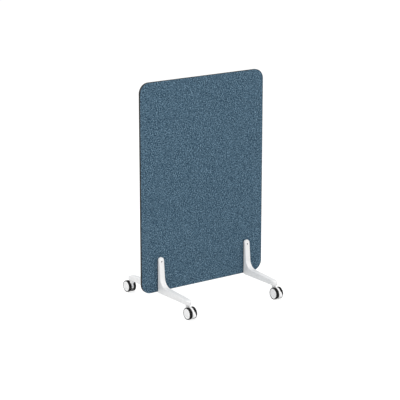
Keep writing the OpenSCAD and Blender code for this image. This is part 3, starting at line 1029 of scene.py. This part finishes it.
def wheel_profile():
    """Rim, web and boss in one."""
    web = WHEEL_INNER + WEB_IN
    hollow_r = RIM_R - RIM_T
    hub_r = AXLE_R + CLOSE_FIT
    rim_end = WHEEL_OUTER - COVER_T - GAP
    boss_end = WHEEL_OUTER - BOSS_END
    return rounded(
        [(hollow_r, WHEEL_INNER), (RIM_R, WHEEL_INNER), (RIM_R, rim_end), (hollow_r, rim_end),
         (hollow_r, web + WEB_T), (BOSS_R, web + WEB_T), (BOSS_R, boss_end), (hub_r, boss_end),
         (hub_r, WHEEL_INNER), (BOSS_R, WHEEL_INNER), (BOSS_R, web), (hollow_r, web)],
        RIM_EDGE_R,
    )


def tyre_profile():
    """A crowned tread with two grooves, between round shoulders."""
    low, high = WHEEL_INNER + GAP, WHEEL_OUTER - GAP
    middle, flat = (low + high) / 2, (high - low) / 2 - TYRE_EDGE_R
    shoulder = WHEEL_R - TYRE_EDGE_R
    tread = [(RIM_R, low)]
    tread += arc((shoulder, low + TYRE_EDGE_R), TYRE_EDGE_R, -90, -SHOULDER_SHORT, 6)
    for k in range(-TREAD_STEPS, TREAD_STEPS + 1):
        across = flat * k / TREAD_STEPS
        groove = TREAD_GROOVE if abs(k) == GROOVE_STEP else 0
        tread.append((WHEEL_R - TREAD_CROWN * (across / flat) ** 2 - groove, middle + across))
    tread += arc((shoulder, high - TYRE_EDGE_R), TYRE_EDGE_R, SHOULDER_SHORT, 90, 6)
    tread.append((RIM_R, high))
    return tread


def cover_profile():
    """A slightly domed disc, with a skirt behind it that snaps into the rim."""
    disc_r = RIM_R - CLOSE_FIT
    skirt_r = RIM_R - RIM_T - CLOSE_FIT
    back = WHEEL_OUTER - COVER_T
    edge = WHEEL_OUTER - COVER_DOME
    cover = [(0, back), (skirt_r - SKIRT_T, back), (skirt_r - SKIRT_T, back - SKIRT_LENGTH),
             (skirt_r, back - SKIRT_LENGTH), (skirt_r, back), (disc_r, back)]
    cover += arc((disc_r - COVER_EDGE_R, edge - COVER_EDGE_R), COVER_EDGE_R, 0, 80, 4)
    for k in reversed(range(COVER_STEPS)):
        t = k / COVER_STEPS
        cover.append((disc_r * t, WHEEL_OUTER - COVER_DOME * t * t))
    return cover


# ---- Putting the object together


def dress_node(name, material):
    """A CAD node keeps its shape and takes a finish."""
    node = frame["nodes"][name]
    node.data.materials.clear()
    node.data.materials.append(material)


edge_strip()
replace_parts(cloth("front_cloth", -1), "front_fabric")
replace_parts(cloth("back_cloth", 1), "back_fabric")

casting = leg()
body_mesh = caster_body()
lever_mesh = brake_lever()
# A wheel's pieces: (node, profile, slot, material)
WHEEL_PARTS = [
    ("wheel", wheel_profile(), "caster_plastic", NYLON),
    ("tyre", tyre_profile(), "tyre", TREAD),
    ("wheel_cover", cover_profile(), "caster_plastic", NYLON),
]
wheel_meshes = {part: revolved(profile, AXLE_PLACE, "X") for part, profile, _, _ in WHEEL_PARTS}

for corner, side_x, side_y in CORNERS:
    flip, along_x = side_y > 0, side_x * LEG_X
    for part, mesh, body, slot, material, node in (
        ("cast_leg", casting, "root", "leg_paint", PAINT, "leg"),
        ("hood", body_mesh, f"{corner}_caster", "caster_plastic", NYLON, "caster_body"),
        ("brake", lever_mesh, f"{corner}_brake", "caster_plastic", NYLON, "brake_lever"),
    ):
        piece = finished(f"{corner}_{part}", mirrored(mesh, False, flip, along_x), body, material)
        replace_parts(piece, f"{corner}_{node}")
    for wheel, side in WHEELS:
        for part, _, slot, material in WHEEL_PARTS:
            node = f"{corner}_{wheel}_{part}"
            mesh = mirrored(wheel_meshes[part], side < 0, flip, along_x)
            piece = finished(f"{node}_shell", mesh, f"{corner}_{wheel}_wheel", material)
            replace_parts(piece, node)
    dress_node(f"{corner}_caster_stem", BRIGHT_STEEL)
    dress_node(f"{corner}_grip_ring", BRIGHT_STEEL)
    dress_node(f"{corner}_axle", BRIGHT_STEEL)

dress_node("panel_core", FIBREBOARD)
dress_node("leg_pads", RUBBER)
dress_node("clamp_bolts", DARK_STEEL)
dress_node("sleeve_nuts", DARK_STEEL)
dress_node("tie_pins", BRIGHT_STEEL)
dress_node("grub_screws", DARK_STEEL)


# ---- Stage, light and camera


def white_seen_by_camera(tree, seen, lit):
    """Chooses one shader for what the camera, mirrors and glass see, and another for the light that falls."""
    path = tree.nodes.new("ShaderNodeLightPath")
    either = tree.nodes.new("ShaderNodeMath")
    either.operation = "MAXIMUM"
    both = tree.nodes.new("ShaderNodeMath")
    both.operation = "MAXIMUM"
    tree.links.new(path.outputs["Is Camera Ray"], either.inputs[0])
    tree.links.new(path.outputs["Is Glossy Ray"], either.inputs[1])
    tree.links.new(either.outputs[0], both.inputs[0])
    tree.links.new(path.outputs["Is Transmission Ray"], both.inputs[1])
    mix = tree.nodes.new("ShaderNodeMixShader")
    tree.links.new(both.outputs[0], mix.inputs[0])
    tree.links.new(lit, mix.inputs[1])
    tree.links.new(seen, mix.inputs[2])
    return mix.outputs[0]


def studio_world(level):
    """White all round: the camera sees it plain, and it lights at a level of its own."""
    world = bpy.data.worlds.new("studio")
    bpy.context.scene.world = world
    world.use_nodes = True
    tree = world.node_tree
    lit = tree.nodes["Background"]
    lit.inputs["Color"].default_value = (1, 1, 1, 1)
    lit.inputs["Strength"].default_value = level
    seen = tree.nodes.new("ShaderNodeBackground")
    seen.inputs["Color"].default_value = (1, 1, 1, 1)
    seen.inputs["Strength"].default_value = 1
    out = tree.nodes["World Output"]
    tree.links.new(white_seen_by_camera(tree, seen.outputs[0], lit.outputs[0]), out.inputs["Surface"])


def studio_floor(radius, glow_share, matt_share):
    """A round white floor.

    The camera sees its own plain white, and a share of the light and shade that falls on it.
    """
    bm = bmesh.new()
    bmesh.ops.create_circle(bm, cap_ends=True, segments=96, radius=radius)
    floor = as_object("floor", bm)
    material = bpy.data.materials.new("floor_white")
    material.use_nodes = True
    tree = material.node_tree
    tree.nodes.clear()
    matt = tree.nodes.new("ShaderNodeBsdfDiffuse")
    matt.inputs["Color"].default_value = grey(0.86)
    glow = tree.nodes.new("ShaderNodeEmission")
    glow.inputs["Strength"].default_value = glow_share
    shade = tree.nodes.new("ShaderNodeBsdfDiffuse")
    shade.inputs["Color"].default_value = grey(matt_share)
    shown = tree.nodes.new("ShaderNodeAddShader")
    tree.links.new(glow.outputs[0], shown.inputs[0])
    tree.links.new(shade.outputs[0], shown.inputs[1])
    out = tree.nodes.new("ShaderNodeOutputMaterial")
    tree.links.new(white_seen_by_camera(tree, shown.outputs[0], matt.outputs[0]), out.inputs["Surface"])
    floor.data.materials.append(material)


def area_light(name, place, aim, size, power):
    """A round lamp at a place, aimed at another, with its width in metres and its power in watts."""
    data = bpy.data.lights.new(name, "AREA")
    data.shape = "DISK"
    data.size = size
    data.energy = power
    lamp = bpy.data.objects.new(name, data)
    lamp.location = place
    lamp.rotation_euler = (Vector(aim) - Vector(place)).to_track_quat("-Z", "Y").to_euler()
    bpy.context.scene.collection.objects.link(lamp)


def photo_camera(place, turn, down, lens):
    """A camera turned clockwise from +Y and tilted down, in degrees."""
    data = bpy.data.cameras.new("camera")
    data.sensor_width = 36
    data.lens = lens
    data.clip_end = 200
    camera = bpy.data.objects.new("camera", data)
    camera.location = place
    camera.rotation_euler = (math.radians(90 - down), 0, -math.radians(turn))
    bpy.context.scene.collection.objects.link(camera)
    bpy.context.scene.camera = camera


studio_world(level=0.69)
studio_floor(radius=40, glow_share=0.76, matt_share=0.42)
area_light("key", (-1.4, -3.6, 3.6), (0, 0, 0.7), 2.2, 10)
area_light("front", (0.8, -4.6, 1.2), (0, 0, 0.5), 2.2, 27)
area_light("left", (-3.0, -0.9, 3.0), (-0.3, -0.1, 0.2), 1.2, 23)
area_light("back_left", (-1.6, 4.0, 1.8), (-0.3, 0.1, 0.3), 1.6, 42)
area_light("top", (0, -0.6, 4.5), (0, 0, 0.5), 2.5, 56)
area_light("rim", (0.6, 3.0, 3.0), (0, 0, 0.7), 2.0, 10)
photo_camera(place=(-5.3608, -7.4052, 3.0219), turn=35.807, down=14.769, lens=138.6)

scene = bpy.context.scene
scene.view_settings.view_transform = "Standard"
